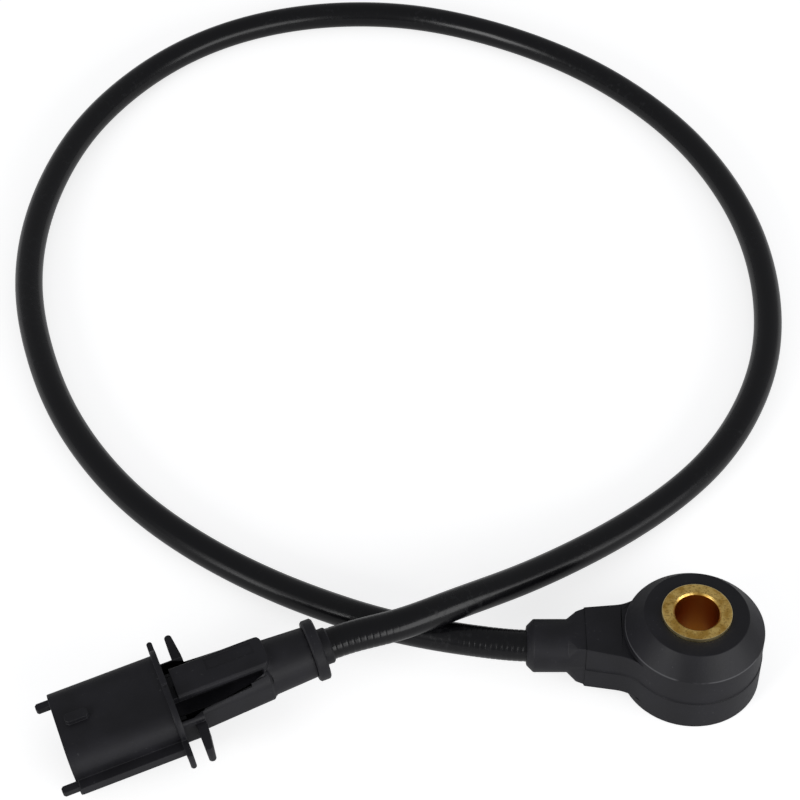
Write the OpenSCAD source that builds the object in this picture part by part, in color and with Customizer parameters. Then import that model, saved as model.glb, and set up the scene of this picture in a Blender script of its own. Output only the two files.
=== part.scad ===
// Engine knock sensor: ring sensor on a brass bush, moulded cable and two-pin plug.
// The bush axis is Z, its seat is z = 0, and the cable leaves the sensor towards -X.

/* [Mounting bush] */
// Bore for the fixing bolt
bore_d = 8.4; // [8.2:0.1:9]
// Outside diameter of the bush shaft
bush_d = 13.1; // [12:0.1:14]
// Height of the bush from seat to top face
bush_h = 18; // [17.6:0.1:19]
// Chamfer at both mouths of the bore
bore_chamfer = 0.35; // [0.1:0.05:0.6]
// Height of the bush's top face above the housing
bush_stand = 0.75; // [0.3:0.05:1]
// Depth of the groove that locks the bush in the housing
groove_depth = 0.4; // [0.2:0.05:0.6]
// Wall of the housing round the seat flange
seat_wall = 2.25; // [2:0.05:3]
// Thickness of the seat flange
flange_t = 2.2; // [1.6:0.1:2.4]

/* [Sensing stack] */
// Wall of the insulating sleeve round the shaft
sleeve_t = 0.35; // [0.2:0.05:0.5]
// Gap between the sleeve and the rings
ring_gap = 0.2; // [0.1:0.05:0.3]
// Step from the edge of the mass ring in to the ceramic and the contacts
piezo_inset = 0.4; // [0.2:0.1:1]
// Thickness of the ceramic ring
piezo_t = 2.6; // [2:0.1:3]
// Thickness of each insulating disc
insulator_t = 0.4; // [0.2:0.1:0.6]
// Thickness of each contact disc
contact_t = 0.3; // [0.2:0.05:0.4]
// Drop of the sleeve's top below the top of the mass ring
sleeve_drop = 0.4; // [0.2:0.1:0.8]
// Sheet thickness of the disc spring
spring_t = 0.6; // [0.4:0.1:0.8]
// Rise of the disc spring's cone
spring_rise = 0.4; // [0.2:0.1:0.6]
// Step from the edge of the mass ring in to the ring nut
nut_inset = 0.8; // [0.4:0.1:1.6]
// Height of the ring nut
nut_h = 2.4; // [1.8:0.1:2.6]
// Number of spanner slots in the ring nut
nut_slots = 4; // [2:1:8]
// Width of a spanner slot
nut_slot_w = 2.4; // [1.6:0.1:3]
// Share of the nut's wall that a spanner slot cuts
nut_slot_share = 0.38; // [0.2:0.02:0.6]

/* [Sensor housing] */
// Largest diameter of the round body
body_d = 26.5; // [26:0.1:28]
// Wall of the housing round the sensing stack
body_wall = 1.85; // [1.6:0.05:2.6]
// Thickness of the housing over the sensing stack
top_wall = 2.75; // [2.4:0.05:3.4]
// Height of the flat underside above the seat
body_base = 0.1; // [0.1:0.1:0.6]
// Height of the parting line
parting_h = 7; // [6:0.5:8]
// Step of the upper half in from the lower half at the parting line
parting_step = 0.15; // [0.05:0.01:0.2]
// Height of the cone round the flat top
cone_rise = 3.95; // [3:0.05:4.5]
// Diameter of the flat top
top_d = 19.6; // [18:0.1:21]
// Room between the stack and the housing's wall
cavity_gap = 0.4; // [0.3:0.05:0.5]
// Room between the ring nut and the housing's top
top_gap = 0.3; // [0.1:0.1:0.6]
// Width of the neck at its end
neck_w = 10.5; // [10:0.1:11]
// Angle by which each side of the neck opens towards the body
neck_taper = 9.5; // [0:0.5:12]
// Height of the neck's top at its end
neck_top = 12.95; // [12.8:0.05:13.2]
// Fall of the neck's top towards the body, in degrees
neck_fall = 5; // [0:1:8]
// Height of the neck's underside
neck_base = 2; // [1.5:0.1:2.4]
// Radius of the fillets between neck and body
neck_fillet = 8; // [5:0.5:10]
// Distance from the bush axis to the end of the neck
neck_end = 20.5; // [20:0.1:21]
// Step from the neck's end to the flare
flare_step = 0.15; // [0.05:0.05:0.3]
// Length of the flare from neck to boss
flare_l = 3.4; // [3:0.1:4]
// Length of the bevelled corner where the flare starts
corner_l = 1.4; // [0.8:0.1:2]
// Inset of the neck's section at that corner
corner_inset = 0.5; // [0.3:0.1:0.8]
// Diameter of the cable boss
boss_d = 10; // [9:0.1:10.4]
// Step from the flare to the boss
boss_step = 0.1; // [0.05:0.05:0.3]
// Distance from the bush axis to the end of the boss
boss_end = 31.4; // [30:0.1:31.8]
// Chamfer on the end of the boss
boss_chamfer = 1.3; // [0.5:0.1:1.5]
// Height of the cable axis at the boss
cable_h = 7.7; // [7.6:0.05:7.8]

/* [Cable] */
// Diameter of the sheath
cable_d = 6; // [5.6:0.1:6]
// Radial room round the sheath where it enters a bore
cable_fit = 0.05; // [0.02:0.01:0.1]
// Diameter of each insulated core
core_d = 1.6; // [1.2:0.1:1.8]
// Diameter of each conductor
wire_d = 0.8; // [0.5:0.1:0.9]
// Distance between the two cores in the sheath
core_pitch = 2.6; // [2.2:0.1:2.8]
// Sides of the swept sheath
cable_sides = 12; // [8:2:12]

/* [Crimped joints] */
// Outside diameter of a crimp barrel
crimp_d = 1.8; // [1.6:0.1:2.2]
// Length of a crimp barrel
crimp_l = 3.4; // [2.5:0.1:4]
// Width of a contact tab
tab_w = 1.8; // [1.4:0.1:2]
// Distance of the contacts' risers outside the cavity
riser_out = 0.6; // [0.4:0.1:1]
// Room round the tabs and joints in the housing
lead_gap = 0.5; // [0.3:0.1:0.8]
// Wall between the joints and the end of the neck
joint_wall = 1.1; // [0.8:0.1:1.5]

/* [Plug position] */
// Distance of the plug's mouth from the bush axis, along -X
plug_x = 116.6; // [114:0.1:118]
// Distance of the plug's mouth from the bush axis, along -Y
plug_y = 21.9; // [20:0.1:24]
// Height of the plug's axis at its mouth
plug_z = 6.55; // [6.55:0.05:7]
// Turn of the plug's axis from +X
plug_yaw = 20.25; // [19:0.25:22]
// Lift of the plug's cable end
plug_pitch = 7.5; // [6:0.5:9]

/* [Plug shroud] */
// Length of the shroud from mouth to front flange
shroud_l = 20.2; // [19:0.1:22]
// Width of the shroud
shroud_w = 18.4; // [17:0.1:19]
// Height of the shroud
shroud_h = 13; // [12.4:0.1:13]
// Outside corner radius of the shroud
shroud_r = 4; // [3:0.1:5]
// Wall of the shroud
shroud_wall = 1.05; // [0.8:0.05:1.4]
// Depth of the socket
socket_l = 17.5; // [15:0.5:18.5]
// Depth of the blade tips below the mouth
blade_recess = 8; // [6:0.5:10]
// Height of the side rails
rail_h = 2; // [1.6:0.1:2.4]
// Width of the side rails
rail_w = 2; // [1.5:0.1:2.4]
// Distance of the side rails behind the mouth
rail_start = 0.4; // [0.2:0.1:1]
// Reach of the guide pegs beyond the mouth
peg_l = 2.9; // [2:0.1:3.5]
// Width of a guide peg
peg_w = 1.6; // [1.2:0.1:2]
// Height of a guide peg
peg_h = 1.3; // [1:0.1:1.6]
// Bevel on the tip of a guide peg
peg_bevel = 0.35; // [0.1:0.05:0.5]
// Hold of a guide peg on the edge of the shroud
peg_hold = 0.3; // [0.2:0.1:0.6]
// Length of a guide peg's root behind the mouth
peg_root = 1; // [0.6:0.1:2]
// Distance of the latch lug behind the mouth
lug_start = 1.8; // [1:0.1:3]
// Length of the latch lug
lug_l = 4.4; // [3:0.1:6]
// Width of the latch lug
lug_w = 2; // [1.5:0.1:3]
// Height of the latch lug
lug_h = 0.9; // [0.5:0.1:1.2]

/* [Plug flanges] */
// Thickness of the front flange
front_flange_t = 1.1; // [0.8:0.1:1.4]
// Rim of the front flange round the shroud
flange_rim = 0.8; // [0.4:0.1:1.2]
// Width of the notch in the front flange's rim
notch_w = 0.8; // [0.4:0.1:1.5]
// Depth of the notch in the front flange's rim
notch_t = 0.3; // [0.1:0.1:0.6]
// Distance of the notch from the plug's middle
notch_side = 0.8; // [0:0.1:2]
// Gap between the two flanges
flange_gap = 2.4; // [2:0.1:3]
// Thickness of the rear flange at its root
rear_flange_t = 1.9; // [1.5:0.1:2.2]
// Thickness of the rear flange's ears at their tips
ear_tip_t = 1.4; // [0.8:0.1:1.6]
// Span of the flange ears
ear_span = 27.6; // [25:0.1:29]
// Height of the flange ears
ear_h = 4; // [3:0.1:5]
// Thick root of the rear flange's ears, beyond the core
ear_root = 1; // [0.5:0.1:2]
// Width of the core between the flanges
core_w = 15; // [14:0.1:16]
// Height of the core between the flanges
core_h = 6.4; // [6:0.1:7]
// Corner radius of the core
core_r = 0.8; // [0.4:0.1:1.5]

/* [Plug tail] */
// Distance from the mouth to the rear end of the tail
tail_end = 39.6; // [39:0.1:41]
// Width of the tail behind the rear flange
tail_w = 12.7; // [12:0.1:14]
// Corner radius of the tail
tail_r = 1.2; // [0.8:0.1:2]
// Width of the tail at its rear shoulder
shoulder_w = 11.1; // [10.8:0.1:12]
// Height of the tail at its rear shoulder
shoulder_h = 8.8; // [8:0.1:9.4]
// Corner radius of the rear shoulder
shoulder_r = 3; // [2:0.1:4]
// Bevel behind the rear shoulder
shoulder_bevel = 0.6; // [0.3:0.1:1]
// Width of the roof plate
roof_w = 7; // [6:0.1:8]
// Height of the roof's top over the plug's axis
roof_top = 6.15; // [5.8:0.05:6.4]
// Thickness of the roof plate
roof_t = 1.3; // [1:0.1:1.5]
// Bevel along the edges of the roof
roof_bevel = 0.45; // [0.2:0.05:0.6]
// Gap between the front flange and the roof
roof_gap = 1; // [0.6:0.1:1.6]
// Distance from the mouth to the rear end of the roof
roof_end = 40; // [39:0.1:41]
// Drop of the roof's sloped rear end
roof_drop = 1.1; // [0.6:0.1:2]
// Angle of the roof's sloped rear end
roof_slope = 40; // [20:5:60]
// Radius of the roof's rear corners
roof_r = 1.6; // [0.5:0.1:3]
// Depth of the sunk panel in the roof
panel_t = 0.2; // [0.1:0.05:0.3]
// Distance from the roof's front end to the sunk panel
panel_start = 6.6; // [5:0.1:9]
// Length of the sunk panel
panel_l = 9.2; // [6:0.1:10]
// Width of the sunk panel
panel_w = 2.6; // [1.5:0.1:3]
// Width of the web under the roof
web_w = 3; // [2:0.1:4]
// Wall outside the side pockets
pocket_wall = 0.7; // [0.5:0.1:1]
// Thickness of the floor under the side pockets
pocket_floor = 1.2; // [0.8:0.1:2]
// Solid length of the tail behind the side pockets
pocket_rear = 1.1; // [1:0.1:3]
// Length of the shelf behind the deep part of a side pocket
pocket_shelf = 3; // [2:0.5:5]
// Diameter of the neck where it leaves the tail
neck_big_d = 10.6; // [10.2:0.1:10.8]
// Diameter of the neck at the cap
neck_small_d = 9.7; // [9.4:0.1:10]
// Distance from the mouth to the rear cap
cap_start = 48; // [47:0.1:49]
// Diameter of the cap's collar
collar_d = 11.8; // [11:0.1:12.4]
// Thickness of the cap's collar
collar_t = 2.2; // [1.6:0.1:2.4]
// Bevel on the edges of the cap
cap_bevel = 0.3; // [0.1:0.05:0.35]
// Diameter of the cap's nipple
nipple_d = 6.9; // [6.8:0.1:7.6]
// Length of the cap's nipple
nipple_l = 1.8; // [1:0.1:2]
// Diameter of the cap's spigot inside the neck
spigot_d = 8; // [7.4:0.1:8.2]
// Length of the cap's spigot
spigot_l = 4; // [3:0.5:5]

/* [Terminals] */
// Width of a blade
blade_w = 2.8; // [2.3:0.1:2.8]
// Thickness of a blade
blade_t = 0.8; // [0.6:0.1:0.8]
// Length of a blade's pointed tip
blade_tip = 0.9; // [0.5:0.1:1.2]
// Distance between the two blades
blade_pitch = 5; // [4.4:0.1:5.2]
// Width of the carrier that holds the blades
carrier_w = 11; // [9.6:0.1:11.6]
// Height of the carrier
carrier_h = 3.6; // [3:0.1:4]
// Length of the carrier
carrier_l = 5; // [4:0.5:6]
// Distance from the mouth to the crimp barrels
barrel_start = 29; // [27:0.5:31]
// Outside diameter of a crimp barrel
barrel_d = 2.2; // [1.8:0.1:2.4]
// Length of a crimp barrel
barrel_l = 4.5; // [3:0.5:6]
// Length of the neck between blade and barrel
barrel_neck = 0.6; // [0.4:0.1:1]
// Room round the terminals in the shell
terminal_gap = 0.3; // [0.2:0.1:0.5]
// Wall between the terminals and the side pockets
terminal_wall = 0.5; // [0.4:0.1:1]

/* [Hidden] */
$fn = 72;
eps = 0.01;

// Radii inside the housing
cavity_r = body_d / 2 - body_wall;
mass_r = cavity_r - cavity_gap;
piezo_r = mass_r - piezo_inset;
nut_r = mass_r - nut_inset;
flange_r = body_d / 2 - seat_wall;
ring_r = bush_d / 2 + sleeve_t + ring_gap;

// Heights: the nut hangs from the housing's top, and the mass ring fills what the rest leaves
body_top = bush_h - bush_stand;
cone_z = body_top - cone_rise;
cavity_top = body_top - top_wall;
stack_top = cavity_top - top_gap;
nut_z = stack_top - nut_h;
spring_z = nut_z - spring_rise - spring_t;
lower_insulator_z = flange_t;
lower_contact_z = lower_insulator_z + insulator_t;
piezo_z = lower_contact_z + contact_t;
upper_contact_z = piezo_z + piezo_t;
upper_insulator_z = upper_contact_z + contact_t;
mass_z = upper_insulator_z + insulator_t;
mass_h = spring_z - mass_z;

// Lead joints in the neck
riser_x = cavity_r + riser_out;
joint_end = neck_end - joint_wall;
crimp_x = joint_end - crimp_l - lead_gap;
tab_top = cable_h - crimp_d / 2;
lead_side = core_pitch / 2;
chamber_w = core_pitch + tab_w + 2 * lead_gap;
chamber_top = cable_h + crimp_d / 2 + lead_gap;

// Plug stations along its axis, from the mouth
front_flange_u = shroud_l;
core_u = front_flange_u + front_flange_t;
rear_flange_u = core_u + flange_gap;
tail_u = rear_flange_u + rear_flange_t;
roof_u = core_u + roof_gap;
pocket_u = tail_end - pocket_rear;
spigot_u = cap_start - spigot_l;
carrier_u = socket_l;
rail_out = shroud_w / 2 + rail_w;

// Terminal chamber in the plug
barrel_r = barrel_d / 2;
blade_side = blade_pitch / 2;
terminal_w = blade_pitch + max(blade_w, barrel_d) + 2 * terminal_gap;
terminal_h = barrel_d + 2 * terminal_gap;

// Route of the cable's centre line, from inside the boss to inside the rear cap
route = [
    [-25, 0, 7.7], [-32, 0, 7.7], [-41, 1.2, 7.6], [-50, 3.3, 7.2], [-59, 6.2, 6.7],
    [-68.5, 11, 5.3], [-78, 16.7, 3.8], [-98, 30.3, 3], [-108.5, 39.9, 3], [-118, 51.8, 3],
    [-126, 65.8, 3], [-132.4, 82.7, 3], [-136.5, 100.7, 3], [-137.4, 119, 3], [-134.7, 138.9, 3],
    [-128.8, 156.8, 3], [-119.7, 172.2, 3], [-108.4, 184.5, 3], [-95.2, 193.3, 3],
    [-81, 198.4, 3], [-66, 200.2, 3], [-51, 198.8, 3], [-37, 194.4, 3], [-23, 187.4, 3],
    [-10, 178.2, 3], [1.6, 166.6, 3], [11.5, 152.7, 3], [19, 136.6, 3], [23.7, 118.6, 3],
    [25, 100, 3], [22.8, 81.5, 3], [17, 65, 3], [8.7, 51.2, 3], [-6.8, 35.1, 3.8],
    [-20, 24, 6.1], [-33.5, 13.8, 9.4], [-46, 5.3, 12.8], [-56, -0.2, 14.1],
    [-65.4, -3, 13.7], [-71.9, -5.4, 12.8]];

cable_start = -route[0][0];

// Disc or ring standing on z
module ring(z, inner_r, outer_r, h) {
    translate([0, 0, z])
        difference() {
            cylinder(h = h, r = outer_r);
            translate([0, 0, -eps]) cylinder(h = h + 2 * eps, r = inner_r);
        }
}

// Cylinder along +X from x
module rod(x, y, z, l, r) {
    translate([x, y, z]) rotate([0, 90, 0]) cylinder(h = l, r = r);
}

// Rectangle with round corners, with true arcs
module rounded_rect(w, h, r) {
    square([w - 2 * r, h], center = true);
    square([w, h - 2 * r], center = true);
    for (x = [-1, 1], y = [-1, 1])
        translate([x * (w / 2 - r), y * (h / 2 - r)]) circle(r);
}

// Bar along +X whose section is given in the YZ plane
module bar(x, l) {
    translate([x, 0, 0]) rotate([90, 0, 90]) linear_extrude(l) children();
}

// Plate between two heights whose outline is given in the XY plane
module plate(z, h) {
    translate([0, 0, z]) linear_extrude(h) children();
}

// Moves a shape from the plug's own axes to its place
module at_plug() {
    translate([-plug_x, -plug_y, plug_z]) rotate([0, -plug_pitch, plug_yaw]) children();
}

// Plan of the neck: sides that open towards the body and run into it on a fillet
module neck_outline(inset) {
    body_r = body_d / 2 - inset;
    half_w = neck_w / 2 - inset;
    side_r = neck_end * sin(neck_taper) + half_w * cos(neck_taper) + neck_fillet;
    back = sqrt(pow(body_r + neck_fillet, 2) - pow(side_r, 2));
    centre = [-side_r * sin(neck_taper) - back * cos(neck_taper),
        side_r * cos(neck_taper) - back * sin(neck_taper)];
    on_side = centre + neck_fillet * [sin(neck_taper), -cos(neck_taper)];
    on_body = centre * body_r / (body_r + neck_fillet);
    difference() {
        polygon([[-neck_end, half_w], on_side, centre, on_body, [0, 0],
            [on_body[0], -on_body[1]], [centre[0], -centre[1]], [on_side[0], -on_side[1]],
            [-neck_end, -half_w]]);
        for (side = [-1, 1]) translate([centre[0], side * centre[1]]) circle(neck_fillet);
    }
}

// Thin slice of the neck at x, smaller all round by the inset
module neck_slice(x, inset) {
    w = neck_w - 2 * (parting_step + inset);
    translate([x, -w / 2, neck_base + inset]) cube([eps, w, neck_top - neck_base - 2 * inset]);
}

module housing_solid() {
    upper_r = body_d / 2 - parting_step;
    rotate_extrude()
        polygon([[0, body_base], [body_d / 2, body_base], [body_d / 2, parting_h],
            [upper_r, parting_h], [upper_r, cone_z], [top_d / 2, body_top], [0, body_top]]);
    plate(neck_base, parting_h - neck_base) neck_outline(0);
    difference() {
        plate(parting_h, neck_top - parting_h) neck_outline(parting_step);
        translate([-neck_end, -body_d, neck_top]) rotate([0, neck_fall, 0])
            cube([2 * neck_end, 2 * body_d, neck_top]);
    }
    hull() {
        neck_slice(-neck_end, flare_step);
        neck_slice(-neck_end - corner_l, corner_inset);
        rod(-neck_end - flare_l, 0, cable_h, eps, boss_d / 2 - boss_step, $fn = 32);
    }
    rod(-boss_end + boss_chamfer, 0, cable_h, boss_end - boss_chamfer - neck_end, boss_d / 2);
    translate([-boss_end, 0, cable_h]) rotate([0, 90, 0])
        cylinder(h = boss_chamfer, r1 = boss_d / 2 - boss_chamfer, r2 = boss_d / 2);
}

// Slot for the tabs and joints, from the bush axis to x and up from z
module lead_slot(x, z) {
    translate([-x, -chamber_w / 2, z]) cube([x, chamber_w, chamber_top - z]);
}

module sensor_housing() {
    color("#27282b")
        difference() {
            housing_solid();
            translate([0, 0, -eps]) cylinder(h = bush_h + 1, r = bush_d / 2);
            translate([0, 0, -eps]) cylinder(h = flange_t + eps, r = flange_r);
            translate([0, 0, flange_t]) cylinder(h = cavity_top - flange_t, r = cavity_r);
            lead_slot(riser_x + lead_gap, lower_contact_z - insulator_t / 2);
            lead_slot(joint_end, tab_top - contact_t - lead_gap);
            for (side = [-1, 1])
                rod(-cable_start - eps, side * lead_side, cable_h,
                    cable_start - joint_end + 2 * eps, core_d / 2);
            rod(-boss_end - eps, 0, cable_h, boss_end - cable_start + eps,
                cable_d / 2 + cable_fit);
        }
}

module brass_bush() {
    r = bore_d / 2;
    c = bore_chamfer;
    g = groove_depth;
    groove_z = (stack_top + body_top) / 2;
    color("#a8843a")
        rotate_extrude()
            polygon([[r + c, 0], [flange_r, 0], [flange_r, flange_t],
                [bush_d / 2, flange_t], [bush_d / 2, groove_z - g],
                [bush_d / 2 - g, groove_z], [bush_d / 2, groove_z + g],
                [bush_d / 2, bush_h], [r + c, bush_h], [r, bush_h - c], [r, c]]);
}

module bush_sleeve() {
    color("#d8cfae")
        ring(flange_t, bush_d / 2, bush_d / 2 + sleeve_t, spring_z - sleeve_drop - flange_t);
}

module insulator(z) {
    ring(z, ring_r, mass_r, insulator_t);
}

module lower_insulator() {
    color("#d8cfae") insulator(lower_insulator_z);
}

module upper_insulator() {
    color("#d8cfae") insulator(upper_insulator_z);
}

// Contact disc with its tab, bent up the cavity wall and along the neck
module contact(z, side) {
    y = side * lead_side - tab_w / 2;
    ring(z, ring_r, piezo_r, contact_t);
    translate([-riser_x, y, z]) cube([riser_x - ring_r, tab_w, contact_t]);
    translate([-riser_x, y, z]) cube([contact_t, tab_w, tab_top - z]);
    translate([-crimp_x - crimp_l, y, tab_top - contact_t])
        cube([crimp_x + crimp_l - riser_x + contact_t, tab_w, contact_t]);
}

module lower_contact() {
    color("#c9b37a") contact(lower_contact_z, -1);
}

module upper_contact() {
    color("#c9b37a") contact(upper_contact_z, 1);
}

module piezo_ring() {
    color("#b9b3a0") ring(piezo_z, ring_r, piezo_r, piezo_t);
}

module seismic_mass() {
    color("#7d8287") ring(mass_z, ring_r, mass_r, mass_h);
}

module disc_spring() {
    color("#8f9499")
        translate([0, 0, spring_z])
            rotate_extrude()
                polygon([[nut_r, 0], [nut_r, spring_t], [ring_r, spring_t + spring_rise],
                    [ring_r, spring_rise]]);
}

module ring_nut() {
    slot_depth = (nut_r - bush_d / 2) * nut_slot_share;
    color("#a8843a")
        difference() {
            ring(nut_z, bush_d / 2, nut_r, nut_h);
            for (i = [0 : nut_slots - 1])
                rotate([0, 0, i * 360 / nut_slots])
                    translate([nut_r - slot_depth, -nut_slot_w / 2, nut_z - eps])
                        cube([2 * slot_depth, nut_slot_w, nut_h + 2 * eps]);
        }
}

// Crimp barrel on its flat foot, round the bare wire
module crimp(side) {
    y = side * lead_side;
    difference() {
        union() {
            rod(-crimp_x - crimp_l, y, cable_h, crimp_l, crimp_d / 2);
            translate([-crimp_x - crimp_l, y - tab_w / 2, tab_top])
                cube([crimp_l, tab_w, crimp_d / 3]);
        }
        rod(-crimp_x - crimp_l - eps, y, cable_h, crimp_l + 2 * eps, wire_d / 2);
    }
}

module signal_crimp() {
    color("#c9b37a") crimp(1);
}

module ground_crimp() {
    color("#c9b37a") crimp(-1);
}

// Core end in the sensor: insulated as far as the joint, then bare
module sensor_lead(side) {
    y = side * lead_side;
    joint_x = crimp_x + crimp_l;
    rod(-cable_start, y, cable_h, cable_start - joint_x, core_d / 2);
    rod(-joint_x, y, cable_h, crimp_l, wire_d / 2);
}

module sensor_signal_lead() {
    color("#b33a2c") sensor_lead(1);
}

module sensor_ground_lead() {
    color("#2d4f9a") sensor_lead(-1);
}

function unit(v) = v / norm(v);
function heading(i) = unit(route[min(i + 1, len(route) - 1)] - route[max(i - 1, 0)]);
function across(i) = unit(cross(heading(i), [0, 0, 1]));
function ring_point(i, angle) = route[i]
    + cable_d / 2 * (cos(angle) * across(i) + sin(angle) * cross(across(i), heading(i)));

module cable() {
    n = cable_sides;
    rings = len(route);
    points = [for (i = [0 : rings - 1], k = [0 : n - 1]) ring_point(i, (k + 0.5) * 360 / n)];
    sides = [for (i = [0 : rings - 2], k = [0 : n - 1])
        [i * n + k, i * n + (k + 1) % n, (i + 1) * n + (k + 1) % n, (i + 1) * n + k]];
    first = [for (k = [n - 1 : -1 : 0]) k];
    last = [for (k = [0 : n - 1]) (rings - 1) * n + k];
    color("#131316") polyhedron(points, concat([first, last], sides), convexity = 8);
}

module shroud() {
    lug_z = (shroud_h - shroud_wall) / 2;
    peg_side = (shroud_w + peg_w) / 2 - peg_hold;
    bar(0, core_u) rounded_rect(shroud_w, shroud_h, shroud_r);
    translate([rail_start, -rail_out, -rail_h / 2])
        cube([core_u - rail_start, 2 * rail_out, rail_h]);
    for (side = [-1, 1])
        translate([0, side * peg_side, 0])
            plate(-peg_h / 2, peg_h)
                polygon([[-peg_l, peg_bevel - peg_w / 2], [peg_bevel - peg_l, -peg_w / 2],
                    [peg_root, -peg_w / 2], [peg_root, peg_w / 2],
                    [peg_bevel - peg_l, peg_w / 2], [-peg_l, peg_w / 2 - peg_bevel]]);
    plate(lug_z, shroud_h / 2 + lug_h - lug_z)
        translate([lug_start, 0])
            polygon([[0, -lug_w / 4], [lug_w / 4, -lug_w / 2], [lug_l - lug_w / 4, -lug_w / 2],
                [lug_l, -lug_w / 4], [lug_l, lug_w / 4], [lug_l - lug_w / 4, lug_w / 2],
                [lug_w / 4, lug_w / 2], [0, lug_w / 4]]);
}

// Pair of ears across the plug in the XY plane, of thickness t, with round tips
module ears(u, t) {
    tip = (ear_span - t) / 2;
    translate([u, -tip]) square([t, 2 * tip]);
    for (side = [-1, 1]) translate([u + t / 2, side * tip]) circle(t / 2);
}

module flanges() {
    rim_w = shroud_w + 2 * flange_rim;
    rim_h = shroud_h + 2 * flange_rim;
    root = core_w / 2 + ear_root;
    tip = (ear_span - ear_tip_t) / 2;
    difference() {
        bar(front_flange_u, front_flange_t) rounded_rect(rim_w, rim_h, shroud_r + flange_rim);
        translate([front_flange_u - eps, -notch_side - notch_w / 2, rim_h / 2 - notch_t])
            cube([front_flange_t + 2 * eps, notch_w, 2 * notch_t]);
    }
    bar(front_flange_u, tail_u - front_flange_u) rounded_rect(core_w, core_h, core_r);
    plate(-ear_h / 2, ear_h) {
        ears(front_flange_u, front_flange_t);
        ears(rear_flange_u, ear_tip_t);
        polygon([[rear_flange_u, -tip], [rear_flange_u + ear_tip_t, -tip], [tail_u, -root],
            [tail_u, root], [rear_flange_u + ear_tip_t, tip], [rear_flange_u, tip]]);
    }
}

// Tail, from the core's section to the rear shoulder, and the round neck behind it
module tail() {
    shoulder_u = tail_end - shoulder_bevel;
    hull() {
        bar(tail_u - eps, eps) rounded_rect(tail_w, core_h, tail_r, $fn = 32);
        bar(shoulder_u - eps, eps) rounded_rect(shoulder_w, shoulder_h, shoulder_r, $fn = 32);
        bar(tail_end - eps, eps)
            rounded_rect(shoulder_w - 2 * shoulder_bevel, shoulder_h - 2 * shoulder_bevel,
                shoulder_r - shoulder_bevel, $fn = 32);
    }
    translate([shoulder_u, 0, 0]) rotate([0, 90, 0])
        cylinder(h = cap_start - shoulder_u, r1 = neck_big_d / 2, r2 = neck_small_d / 2);
}

// Roof plate on its web, bevelled along both edges, with round rear corners, a sloped rear
// end and a sunk panel
module roof() {
    half = roof_w / 2;
    l = roof_end - roof_u;
    difference() {
        intersection() {
            union() {
                bar(roof_u, l)
                    polygon([[-half, roof_top - roof_t], [half, roof_top - roof_t],
                        [half, roof_top - roof_bevel], [half - roof_bevel, roof_top],
                        [roof_bevel - half, roof_top], [-half, roof_top - roof_bevel]]);
                bar(roof_u, l)
                    translate([-web_w / 2, 0]) square([web_w, roof_top - roof_t / 2]);
                bar(pocket_u, roof_end - pocket_u)
                    translate([-half, 0]) square([roof_w, roof_top - roof_t / 2]);
            }
            plate(0, 2 * roof_top) {
                translate([roof_u, -half]) square([l - roof_r, roof_w]);
                translate([roof_u, roof_r - half]) square([l, roof_w - 2 * roof_r]);
                for (side = [-1, 1])
                    translate([roof_end - roof_r, side * (half - roof_r)]) circle(roof_r);
            }
        }
        translate([roof_end, -roof_w, roof_top - roof_drop]) rotate([0, roof_slope, 0])
            cube([roof_end, 2 * roof_w, roof_top]);
        translate([roof_u + panel_start, 0, roof_top - panel_t])
            cube([panel_l, panel_w, 2 * panel_t]);
    }
}

// Side pocket between the web and the tail's outer wall, narrowing to the rear
module side_pocket(side) {
    inner = terminal_w / 2 + terminal_wall;
    front = core_w / 2 - pocket_wall;
    rear = tail_w / 2 - pocket_wall;
    shelf_u = pocket_u - pocket_shelf;
    mirror([0, side > 0 ? 0 : 1, 0]) {
        plate(terminal_h / 2 + terminal_wall, roof_top)
            polygon([[core_u, web_w / 2], [core_u, front], [rear_flange_u, front],
                [tail_u + pocket_wall, rear], [pocket_u, roof_w / 2 + pocket_wall],
                [pocket_u, web_w / 2]]);
        plate(pocket_floor - core_h / 2, roof_top)
            polygon([[core_u, inner], [core_u, front], [rear_flange_u, front],
                [tail_u + pocket_wall, rear], [shelf_u, inner + terminal_gap], [shelf_u, inner]]);
    }
}

module shell_hollows() {
    chamber_u = carrier_u + carrier_l - eps;
    bar(-1, socket_l + 1)
        rounded_rect(shroud_w - 2 * shroud_wall, shroud_h - 2 * shroud_wall,
            shroud_r - shroud_wall);
    bar(carrier_u - eps, carrier_l + eps) square([carrier_w, carrier_h], center = true);
    bar(chamber_u, spigot_u - chamber_u + eps) square([terminal_w, terminal_h], center = true);
    rod(spigot_u, 0, 0, spigot_l + 1, spigot_d / 2);
}

module plug_shell() {
    color("#27282b")
        at_plug()
            difference() {
                union() {
                    shroud();
                    difference() {
                        union() {
                            flanges();
                            tail();
                        }
                        side_pocket(1);
                        side_pocket(-1);
                    }
                    roof();
                }
                shell_hollows();
            }
}

module plug_rear_cap() {
    bore_r = cable_d / 2 + cable_fit;
    collar_r = collar_d / 2;
    nipple_r = nipple_d / 2;
    collar_u = cap_start + collar_t;
    end_u = collar_u + nipple_l;
    color("#27282b")
        at_plug()
            rotate([0, 90, 0])
                rotate_extrude()
                    polygon([[bore_r, spigot_u], [spigot_d / 2, spigot_u],
                        [spigot_d / 2, cap_start], [collar_r - cap_bevel, cap_start],
                        [collar_r, cap_start + cap_bevel], [collar_r, collar_u - cap_bevel],
                        [collar_r - cap_bevel, collar_u], [nipple_r, collar_u],
                        [nipple_r, end_u - cap_bevel], [nipple_r - cap_bevel, end_u],
                        [bore_r, end_u]]);
}

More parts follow.
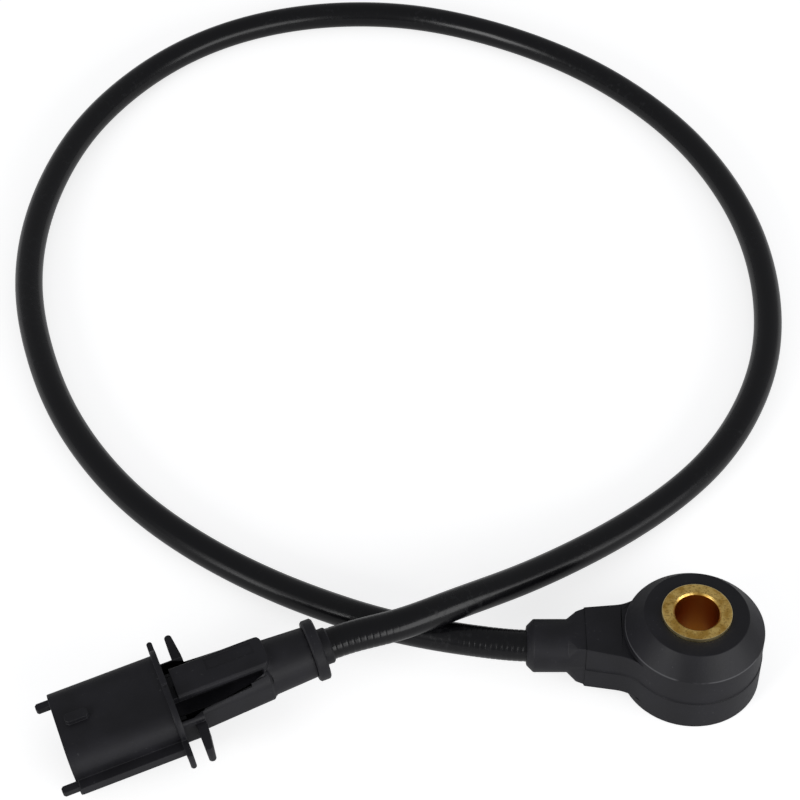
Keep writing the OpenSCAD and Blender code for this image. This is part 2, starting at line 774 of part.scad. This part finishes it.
module terminal_carrier() {
    color("#3a3b3f")
        at_plug()
            difference() {
                bar(carrier_u, carrier_l) square([carrier_w, carrier_h], center = true);
                for (side = [-1, 1])
                    translate([carrier_u - 1, side * blade_side - blade_w / 2, -blade_t / 2])
                        cube([carrier_l + 2, blade_w, blade_t]);
            }
}

// Blade with a pointed tip, and the crimp barrel stamped with it
module terminal(side) {
    y = side * blade_side;
    half = blade_w / 2;
    shoulder = blade_recess + blade_tip;
    at_plug() {
        plate(-blade_t / 2, blade_t)
            polygon([[blade_recess, y - half + blade_tip], [shoulder, y - half],
                [barrel_start, y - half], [barrel_start, y + half], [shoulder, y + half],
                [blade_recess, y + half - blade_tip]]);
        difference() {
            rod(barrel_start - barrel_neck, y, 0, barrel_l + barrel_neck, barrel_r);
            rod(barrel_start, y, 0, barrel_l + 1, wire_d / 2);
        }
    }
}

module signal_terminal() {
    color("#c9b37a") terminal(1);
}

module ground_terminal() {
    color("#c9b37a") terminal(-1);
}

// Core end in the plug: insulated and spread from the sheath to the barrel, then bare
module plug_lead(side) {
    y0 = side * lead_side;
    y1 = side * blade_side;
    barrel_end = barrel_start + barrel_l;
    span = cap_start - barrel_end;
    at_plug() {
        intersection() {
            translate([barrel_end, y1, 0]) rotate([0, 90, atan2(y0 - y1, span)])
                translate([0, 0, -core_d]) cylinder(h = span + 3 * core_d, r = core_d / 2);
            translate([barrel_end, -blade_pitch, -core_d])
                cube([span, 2 * blade_pitch, 2 * core_d]);
        }
        rod(barrel_start, y1, 0, barrel_l + eps, wire_d / 2);
    }
}

module plug_signal_lead() {
    color("#b33a2c") plug_lead(1);
}

module plug_ground_lead() {
    color("#2d4f9a") plug_lead(-1);
}

sensor_housing();
brass_bush();
bush_sleeve();
lower_insulator();
lower_contact();
piezo_ring();
upper_contact();
upper_insulator();
seismic_mass();
disc_spring();
ring_nut();
signal_crimp();
ground_crimp();
sensor_signal_lead();
sensor_ground_lead();
cable();
plug_shell();
plug_rear_cap();
terminal_carrier();
signal_terminal();
ground_terminal();
plug_signal_lead();
plug_ground_lead();
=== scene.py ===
# Dressing of the engine knock sensor: the cable with its moulded grooves, the rounded edges of
# both mouldings, and the finish of each piece. The sections go from the cable to the studio.
import math

import bmesh
import bpy
import numpy as np
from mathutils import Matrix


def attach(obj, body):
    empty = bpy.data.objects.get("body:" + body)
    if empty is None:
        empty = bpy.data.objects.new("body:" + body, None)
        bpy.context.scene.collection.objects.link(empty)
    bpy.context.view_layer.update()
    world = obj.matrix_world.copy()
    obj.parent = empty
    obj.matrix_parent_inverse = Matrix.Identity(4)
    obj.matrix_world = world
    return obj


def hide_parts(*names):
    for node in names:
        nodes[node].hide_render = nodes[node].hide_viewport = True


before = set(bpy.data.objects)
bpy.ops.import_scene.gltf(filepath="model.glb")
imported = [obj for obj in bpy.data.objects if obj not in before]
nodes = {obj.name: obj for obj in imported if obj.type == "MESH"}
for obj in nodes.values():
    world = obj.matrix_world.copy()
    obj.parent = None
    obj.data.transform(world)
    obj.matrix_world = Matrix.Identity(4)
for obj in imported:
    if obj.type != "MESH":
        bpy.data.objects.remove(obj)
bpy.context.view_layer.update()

# The camera stands in front of the sensor, a little to its left, and looks down on it.
# Its place and lens were worked out from the ellipse of the bush and the cable's thickness.
camera_place = (-0.0552, -0.2762, 0.3661)
camera_tilt = math.radians(90 - 46.5)
camera_data = bpy.data.cameras.new("camera")
camera_data.sensor_width = 36
camera_data.lens = 107.3
camera_data.clip_start = 0.01
camera = bpy.data.objects.new("camera", camera_data)
camera.location = camera_place
camera.rotation_euler = (camera_tilt, 0, 0)
bpy.context.scene.collection.objects.link(camera)
bpy.context.scene.camera = camera


# Cable: a black sheath, 6 mm thick, extruded over its two cores and moulded into both ends.
# The moulding tools have left fine grooves round the sheath beside the plug and the sensor.
cable_diameter = 0.006
cable_route = np.array([
    (-0.025, 0, 0.0077), (-0.032, 0, 0.0077), (-0.041, 0.0012, 0.0076), (-0.05, 0.0033, 0.0072),
    (-0.059, 0.0062, 0.0067), (-0.0685, 0.011, 0.0053), (-0.078, 0.0167, 0.0038),
    (-0.098, 0.0303, 0.003), (-0.1085, 0.0399, 0.003), (-0.118, 0.0518, 0.003),
    (-0.126, 0.0658, 0.003), (-0.1324, 0.0827, 0.003), (-0.1365, 0.1007, 0.003),
    (-0.1374, 0.119, 0.003), (-0.1347, 0.1389, 0.003), (-0.1288, 0.1568, 0.003),
    (-0.1197, 0.1722, 0.003), (-0.1084, 0.1845, 0.003), (-0.0952, 0.1933, 0.003),
    (-0.081, 0.1984, 0.003), (-0.066, 0.2002, 0.003), (-0.051, 0.1988, 0.003),
    (-0.037, 0.1944, 0.003), (-0.023, 0.1874, 0.003), (-0.01, 0.1782, 0.003),
    (0.0016, 0.1666, 0.003), (0.0115, 0.1527, 0.003), (0.019, 0.1366, 0.003),
    (0.0237, 0.1186, 0.003), (0.025, 0.1, 0.003), (0.0228, 0.0815, 0.003),
    (0.017, 0.065, 0.003), (0.0087, 0.0512, 0.003), (-0.0068, 0.0351, 0.0038),
    (-0.02, 0.024, 0.0061), (-0.0335, 0.0138, 0.0094), (-0.046, 0.0053, 0.0128),
    (-0.056, -0.0002, 0.0141), (-0.0654, -0.003, 0.0137), (-0.0719, -0.0054, 0.0128)])


def spline(points, stations):
    """Natural cubic spline: on each span the point is a cubic in the chord length, and its
    second derivatives at the points solve one tridiagonal system."""
    chord = np.concatenate([[0], np.cumsum(np.linalg.norm(np.diff(points, axis=0), axis=1))])
    gap = np.diff(chord)
    slope = np.diff(points, axis=0) / gap[:, None]
    system = np.eye(len(points))
    inner = np.arange(1, len(points) - 1)
    system[inner, inner] = 2 * (gap[:-1] + gap[1:])
    system[inner, inner - 1] = gap[:-1]
    system[inner, inner + 1] = gap[1:]
    right = np.zeros_like(points)
    right[1:-1] = 6 * np.diff(slope, axis=0)
    bend = np.linalg.solve(system, right)
    at = stations * chord[-1]
    span = np.clip(np.searchsorted(chord, at, side="right") - 1, 0, len(gap) - 1)
    width = gap[span, None]
    after = (at - chord[span])[:, None]
    before = width - after
    return (
        (bend[span] * before**3 + bend[span + 1] * after**3) / (6 * width)
        + (points[span] / width - bend[span] * width / 6) * before
        + (points[span + 1] / width - bend[span + 1] * width / 6) * after
    )


def tube(name, centre, radius, sides):
    """Point (i, k) is centre i plus radius i times (cos a across i + sin a over i), where a goes
    once round in k, across is level and over is at right angles to it and to the centre line."""
    along = np.gradient(centre, axis=0)
    along /= np.linalg.norm(along, axis=1)[:, None]
    across = np.cross(along, (0, 0, 1))
    across /= np.linalg.norm(across, axis=1)[:, None]
    over = np.cross(across, along)
    angle = np.arange(sides) * 2 * np.pi / sides
    ring = (np.cos(angle)[None, :, None] * across[:, None]
            + np.sin(angle)[None, :, None] * over[:, None])
    points = centre[:, None] + radius[:, None, None] * ring
    i, k = np.meshgrid(np.arange(len(centre) - 1), np.arange(sides), indexing="ij")
    turn = (k + 1) % sides
    here, ahead = i * sides, (i + 1) * sides
    quads = np.stack([here + k, ahead + k, ahead + turn, here + turn], -1)
    first_cap = list(range(sides))
    last_cap = [(len(centre) - 1) * sides + n for n in first_cap][::-1]
    faces = [first_cap] + quads.reshape(-1, 4).tolist() + [last_cap]
    mesh = bpy.data.meshes.new(name)
    mesh.from_pydata(points.reshape(-1, 3).tolist(), [], faces)
    mesh.polygons.foreach_set("use_smooth", np.ones(len(mesh.polygons), dtype=bool))
    length = np.concatenate([[0], np.cumsum(np.linalg.norm(np.diff(centre, axis=0), axis=1))])
    corner_point = np.empty(len(mesh.loops), dtype=np.int32)
    mesh.loops.foreach_get("vertex_index", corner_point)
    uv = np.stack([length[corner_point // sides], (corner_point % sides) / sides], -1)
    layer = mesh.uv_layers.new(name="along_and_round")
    layer.data.foreach_set("uv", uv.astype(np.float32).ravel())
    mesh.validate()
    return mesh


class Wire:
    """An output in a material's node tree. Sums and products on it add Math nodes, and node()
    adds any other node."""

    def __init__(self, tree, socket=None):
        self.tree, self.socket = tree, socket

    def node(self, kind, settings, inputs, output=0):
        made = self.tree.nodes.new(kind)
        for name, value in settings.items():
            setattr(made, name, value)
        for name, value in inputs.items():
            if isinstance(value, Wire):
                self.tree.links.new(value.socket, made.inputs[name])
            else:
                made.inputs[name].default_value = value
        return Wire(self.tree, made.outputs[output]) if made.outputs else None

    def maths(self, operation, first, second=0.0):
        return self.node("ShaderNodeMath", {"operation": operation}, {0: first, 1: second})

    def __add__(self, other):
        return self.maths("ADD", self, other)

    def __sub__(self, other):
        return self.maths("SUBTRACT", self, other)

    def __rsub__(self, other):
        return self.maths("SUBTRACT", other, self)

    def __mul__(self, other):
        return self.maths("MULTIPLY", self, other)

    __radd__, __rmul__ = __add__, __mul__


def new_material(name):
    """An empty node material, and the wire that its nodes are added with."""
    material = bpy.data.materials.new(name)
    material.use_nodes = True
    material.node_tree.nodes.clear()
    return material, Wire(material.node_tree)


def close_material(wire, shader):
    """Leads the shader to the material's surface."""
    wire.node("ShaderNodeOutputMaterial", {}, {"Surface": shader})


def noise(wire, place, scale, detail):
    """Noise in space, about 0.5 on average. scale is in features to the metre."""
    return wire.node("ShaderNodeTexNoise", {}, {"Vector": place, "Scale": scale, "Detail": detail})


def band(wire, value, low, high):
    """0 below low, 1 above high, and a smooth step between them."""
    return wire.node("ShaderNodeMapRange", {"interpolation_type": "SMOOTHSTEP"},
                     {"Value": value, "From Min": low, "From Max": high})


def mixed(wire, factor, first, second):
    """A colour between two colours."""
    return wire.node("ShaderNodeMix", {"data_type": "RGBA"}, {0: factor, 6: first, 7: second}, 2)


def sheath_finish():
    """Glossy black sheath: faint lengthways streaks from the extruder, and a dusting of scuffs."""
    material, wire = new_material("sheath")
    uv = wire.node("ShaderNodeUVMap", {"uv_map": "along_and_round"}, {})
    stretched = wire.node("ShaderNodeMapping", {}, {"Vector": uv, "Scale": (60, 26, 1)})
    streak = noise(wire, stretched, 1.0, 3.0)
    place = wire.node("ShaderNodeTexCoord", {}, {}, "Object")
    scuff = noise(wire, place, 900.0, 4.0)
    dull = band(wire, scuff, 0.5, 0.75) * band(wire, noise(wire, place, 60.0, 2.0), 0.42, 0.68)
    colour = mixed(wire, dull, (0.0032, 0.0032, 0.0040, 1), (0.009, 0.009, 0.0105, 1))
    normal = wire.node("ShaderNodeBump", {}, {
        "Height": streak + scuff * 0.2, "Strength": 0.25, "Distance": 0.0001})
    shader = wire.node("ShaderNodeBsdfPrincipled", {}, {
        "Base Color": colour, "Roughness": streak * 0.14 + dull * 0.2 + 0.16, "Normal": normal,
        "Specular IOR Level": 0.27})
    close_material(wire, shader)
    return material


# The grooves begin and end this far from the cable's end, and repeat at the pitch.
plug_grooves = (0.0040, 0.0190, 0.0012)
sensor_grooves = (0.0064, 0.0190, 0.0010)
groove_depth = 0.00006
groove_half_width = 0.18  # of the pitch
groove_fade = 0.4
cable_sides = 48
fine_step, coarse_step = 0.0001, 0.0012
dense = spline(cable_route, np.linspace(0, 1, 4000))
cable_length = np.linalg.norm(np.diff(dense, axis=0), axis=1).sum()
stations = np.unique(np.concatenate([
    np.arange(0, sensor_grooves[1], fine_step),
    np.arange(sensor_grooves[1], cable_length - plug_grooves[1], coarse_step),
    np.arange(cable_length - plug_grooves[1], cable_length, fine_step), [cable_length]]))
stations = stations[np.diff(stations, append=np.inf) > fine_step / 4]


def grooves(distance, extent):
    """Depth of the grooves, 0 to 1: a valley with the profile 3v^2 - 2v^3 in the middle of each
    pitch, times the share of the extent that is left, to a power."""
    start, end, pitch = extent
    off_middle = np.abs((distance - start) % pitch / pitch - 0.5)
    valley = np.clip(1 - off_middle / groove_half_width, 0, 1)
    fade = np.clip((end - distance) / (end - start), 0, 1) ** groove_fade
    return np.where(distance > start, valley**2 * (3 - 2 * valley) * fade, 0)


cable_centre = spline(cable_route, stations / cable_length)
cable_centre[:, 2] = np.maximum(cable_centre[:, 2], cable_diameter / 2)
cable_radius = cable_diameter / 2 - groove_depth * (
    grooves(stations, sensor_grooves) + grooves(cable_length - stations, plug_grooves))
cable_mesh = tube("cable_skin", cable_centre, cable_radius, cable_sides)
cable_skin = bpy.data.objects.new("cable_skin", cable_mesh)
bpy.context.scene.collection.objects.link(cable_skin)
cable_skin.data.materials.append(sheath_finish())
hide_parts("cable")
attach(cable_skin, "root")


# Sensor housing and plug shell: black glass-filled nylon, moulded with a fine spark-eroded grain.
# The housing is moulded round the bush and the sensing stack, and the plug round its terminals.
def nylon_finish(name, tone, edge_highlight=None):
    """Dark grey plastic: fine grain, soft blotches of gloss, and pale rub marks in patches. The
    last argument gives from a material's wires where a painted highlight lines an edge, 0 to 1."""
    material, wire = new_material(name)
    place = wire.node("ShaderNodeTexCoord", {}, {}, "Object")
    cloud = noise(wire, place, 180.0, 3.0)
    rubbed = band(wire, noise(wire, place, 1500.0, 2.0), 0.66, 0.72) * band(wire, cloud, 0.5, 0.65)
    dark = tuple(0.8 * v for v in tone) + (1,)
    pale = tuple(1.25 * v for v in tone) + (1,)
    colour = mixed(wire, band(wire, cloud, 0.3, 0.7), dark, pale)
    colour = mixed(wire, rubbed * 0.5, colour, (0.05, 0.05, 0.053, 1))
    if edge_highlight:
        # Painted highlight: a pale line along the edge, where light catches it, broken into
        # patches.
        edge = edge_highlight(wire, place) * band(wire, cloud, 0.35, 0.5)
        colour = mixed(wire, edge, colour, (0.07, 0.07, 0.075, 1))
    normal = wire.node("ShaderNodeBump", {}, {
        "Height": noise(wire, place, 3200.0, 3.0), "Strength": 0.4, "Distance": 0.00004})
    shader = wire.node("ShaderNodeBsdfPrincipled", {}, {
        "Base Color": colour, "Roughness": cloud * 0.16 + 0.45, "Normal": normal,
        "Specular IOR Level": 0.29})
    close_material(wire, shader)
    return material


def dress(names, material):
    """Gives CAD nodes their finish."""
    for name in names:
        mesh = nodes[name].data
        mesh.materials.clear()
        mesh.materials.append(material)


def rounded(name, node, width, material):
    """A merged copy of a CAD node in its place, with each edge sharper than 30 degrees rounded."""
    mesh = nodes[node].data.copy()
    work = bmesh.new()
    work.from_mesh(mesh)
    bmesh.ops.remove_doubles(work, verts=work.verts, dist=1e-6)
    bmesh.ops.dissolve_limit(
        work, angle_limit=math.radians(0.5), verts=work.verts, edges=work.edges)
    for face in work.faces:
        face.smooth = True
    work.to_mesh(mesh)
    work.free()
    mesh.materials.clear()
    mesh.materials.append(material)
    piece = bpy.data.objects.new(name, mesh)
    bpy.context.scene.collection.objects.link(piece)
    edge = piece.modifiers.new("edge", "BEVEL")
    edge.width, edge.segments, edge.limit_method = width, 2, "ANGLE"
    edge.angle_limit, edge.use_clamp_overlap = math.radians(30), False
    piece.modifiers.new("shading", "WEIGHTED_NORMAL")
    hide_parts(node)
    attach(piece, "root")
    return piece


def cone_edge_highlight(wire, place):
    """Mask of a painted highlight: 1 on the housing's edge at the foot of the cone, 0 past 0.2 mm
    from it.
    """
    height = wire.node("ShaderNodeSeparateXYZ", {}, {"Vector": place}, "Z") - cone_foot
    return 1 - band(wire, height.maths("ABSOLUTE", height), 0.0001, 0.0002)


cone_foot = 0.01325
housing_rounding, plug_rounding = 0.00016, 0.00012
plug_nylon = nylon_finish("plug_nylon", (0.0082, 0.0080, 0.0104))
rounded("housing_skin", "sensor_housing", housing_rounding,
        nylon_finish("housing_nylon", (0.0085, 0.0083, 0.0108), cone_edge_highlight))
plug_skin = rounded("plug_skin", "plug_shell", plug_rounding, plug_nylon)
dress(["plug_rear_cap"], plug_nylon)
dress(["terminal_carrier"], nylon_finish("carrier_nylon", (0.014, 0.014, 0.016)))


# Bush: turned from brass bar, with a chamfered 8.4 mm bore and a seat flange at the bottom.
# Its top ring is faced on the lathe and lightly tarnished. Its outer rim is paler as a painted
# highlight, and the bore wall is browner and darker than the ring as painted shade.
bore_wall, rim_highlight_start = 0.0042, 0.0064


def brass_finish():
    """Turned brass: rings of tool marks round the bush axis, specks of dark tarnish, a painted
    highlight that makes the outer rim pale, and painted shade that makes the bore wall darker and
    browner."""
    material, wire = new_material("turned_brass")
    place = wire.node("ShaderNodeTexCoord", {}, {}, "Object")
    rings = wire.node("ShaderNodeTexWave", {"wave_type": "RINGS", "rings_direction": "Z"}, {
        "Vector": place, "Scale": 900.0, "Distortion": 2.0, "Detail": 2.0})
    cloud = noise(wire, place, 600.0, 4.0)
    level = wire.node("ShaderNodeVectorMath", {"operation": "MULTIPLY"}, {0: place, 1: (1, 1, 0)})
    radius = wire.node("ShaderNodeVectorMath", {"operation": "LENGTH"}, {0: level}, "Value")
    tarnish = band(wire, noise(wire, place, 2600.0, 2.0), 0.5, 0.7) * 0.6
    dark, pale = (0.56, 0.33, 0.07, 1), (0.86, 0.60, 0.19, 1)
    colour = mixed(wire, band(wire, cloud, 0.35, 0.65), dark, pale)
    colour = mixed(wire, tarnish, colour, (0.30, 0.16, 0.04, 1))
    # Painted highlight: the outer rim gets a pale brass, as where light catches the edge.
    rim_highlight = band(wire, radius, rim_highlight_start, rim_highlight_start + 0.00015)
    colour = mixed(wire, rim_highlight, colour, (0.9, 0.75, 0.4, 1))
    # Painted shade: inside the bore wall the brass is darker and browner, as in the hollow's
    # shade.
    outside_bore_shade = band(wire, radius, bore_wall + 0.00001, bore_wall + 0.00006)
    colour = mixed(wire, outside_bore_shade, (0.46, 0.16, 0.014, 1), colour)
    normal = wire.node("ShaderNodeBump", {}, {
        "Height": rings * 0.4 + cloud, "Strength": 0.3, "Distance": 0.00005})
    shader = wire.node("ShaderNodeBsdfPrincipled", {}, {
        "Base Color": colour, "Metallic": 1.0, "Roughness": cloud * 0.2 + 0.26, "Normal": normal})
    close_material(wire, shader)
    return material


turned_brass = brass_finish()
dress(["brass_bush", "ring_nut"], turned_brass)


# Sensing stack: stamped and ground rings inside the housing, held down by the ring nut.
# None of it shows once the housing is moulded on.
def plain_finish(name, colour, metallic, roughness):
    """A stamped or ground finish: the colour with faint blotches and a fine bump."""
    material, wire = new_material(name)
    place = wire.node("ShaderNodeTexCoord", {}, {}, "Object")
    cloud = noise(wire, place, 700.0, 3.0)
    dark = tuple(0.8 * v for v in colour) + (1,)
    tint = mixed(wire, band(wire, cloud, 0.35, 0.65), dark, tuple(colour) + (1,))
    normal = wire.node("ShaderNodeBump", {}, {
        "Height": cloud, "Strength": 0.2, "Distance": 0.00004})
    shader = wire.node("ShaderNodeBsdfPrincipled", {}, {
        "Base Color": tint, "Metallic": metallic, "Roughness": cloud * 0.1 + roughness,
        "Normal": normal})
    close_material(wire, shader)
    return material


dress(["bush_sleeve", "lower_insulator", "upper_insulator"],
      plain_finish("insulating_film", (0.66, 0.60, 0.42), 0.0, 0.4))
dress(["piezo_ring"], plain_finish("fired_ceramic", (0.50, 0.47, 0.38), 0.0, 0.6))
dress(["seismic_mass"], plain_finish("turned_steel", (0.42, 0.43, 0.44), 1.0, 0.3))
dress(["disc_spring"], plain_finish("spring_steel", (0.35, 0.36, 0.37), 1.0, 0.35))


# Contacts, crimps and blades: stamped from tinned bronze strip.
# The two cores reach them in a red and a blue coat.
dress(["lower_contact", "upper_contact", "signal_crimp", "ground_crimp", "signal_terminal",
       "ground_terminal"], plain_finish("tinned_bronze", (0.66, 0.56, 0.36), 1.0, 0.28))
dress(["sensor_signal_lead", "plug_signal_lead"],
      plain_finish("red_coat", (0.45, 0.03, 0.02), 0.0, 0.35))
dress(["sensor_ground_lead", "plug_ground_lead"],
      plain_finish("blue_coat", (0.03, 0.07, 0.32), 0.0, 0.35))


# Studio: white paper in a room that is dim above. Two soft lamps stand low in front, one to the
# left and a broad one to the right, so that upright faces are paler than the tops.
paper_grey, paper_glow, gloss_share = 0.6, 0.7, 0.4
floor_half, floor_gap = 3.0, 0.00005


def area_lamp(name, place, target, width, height, power):
    """A soft rectangular lamp at a place, turned to a target."""
    data = bpy.data.lights.new(name, "AREA")
    data.shape, data.size, data.size_y, data.energy = "RECTANGLE", width, height, power
    lamp = bpy.data.objects.new(name, data)
    lamp.location = place
    way = np.array(target) - np.array(place)
    lamp.rotation_euler = (math.atan2(math.hypot(way[0], way[1]), -way[2]), 0,
                           math.atan2(-way[0], way[1]))
    bpy.context.scene.collection.objects.link(lamp)


def white_floor():
    """Paper that keeps the object's shadow, with a light of its own that makes it white for the
    camera. Gloss sees less than half of that light, as the photo's floor is mirrored weakly."""
    material, wire = new_material("paper")
    to_camera, to_gloss, through = (wire.node("ShaderNodeLightPath", {}, {}, ray) for ray in (
        "Is Camera Ray", "Is Glossy Ray", "Is Transmission Ray"))
    seen = to_camera + to_gloss * gloss_share + through
    paper = wire.node("ShaderNodeBsdfDiffuse", {}, {"Color": (paper_grey,) * 3 + (1,)})
    glow = wire.node("ShaderNodeEmission", {}, {"Color": (1,) * 4, "Strength": seen * paper_glow})
    both = wire.node("ShaderNodeAddShader", {}, {0: paper, 1: glow})
    close_material(wire, both)
    return material


floor_mesh = bpy.data.meshes.new("floor")
corners = [(x * floor_half, y * floor_half, 0) for x, y in ((-1, -1), (1, -1), (1, 1), (-1, 1))]
floor_mesh.from_pydata(corners, [], [(0, 1, 2, 3)])
floor = bpy.data.objects.new("floor", floor_mesh)
floor.location = (0, 0, -floor_gap)
floor_mesh.materials.append(white_floor())
bpy.context.scene.collection.objects.link(floor)

# Each lamp stands 1 m from the middle of the object.
middle = (-0.055, 0.06, 0)
for name, turn, lift, width, height, power in (
        ("left_lamp", -46, 18, 0.4, 0.45, 4.2), ("right_lamp", 48, 16, 1.1, 0.5, 6.2)):
    turn, lift = math.radians(turn), math.radians(lift)
    place = (middle[0] + math.sin(turn) * math.cos(lift),
             middle[1] - math.cos(turn) * math.cos(lift), math.sin(lift))
    area_lamp(name, place, middle, width, height, power)

world = bpy.data.worlds.new("studio")
bpy.context.scene.world = world
world.use_nodes = True
world.node_tree.nodes["Background"].inputs["Color"].default_value = (0.96, 0.97, 1, 1)
world.node_tree.nodes["Background"].inputs["Strength"].default_value = 0.36
bpy.context.scene.view_settings.view_transform = "Standard"
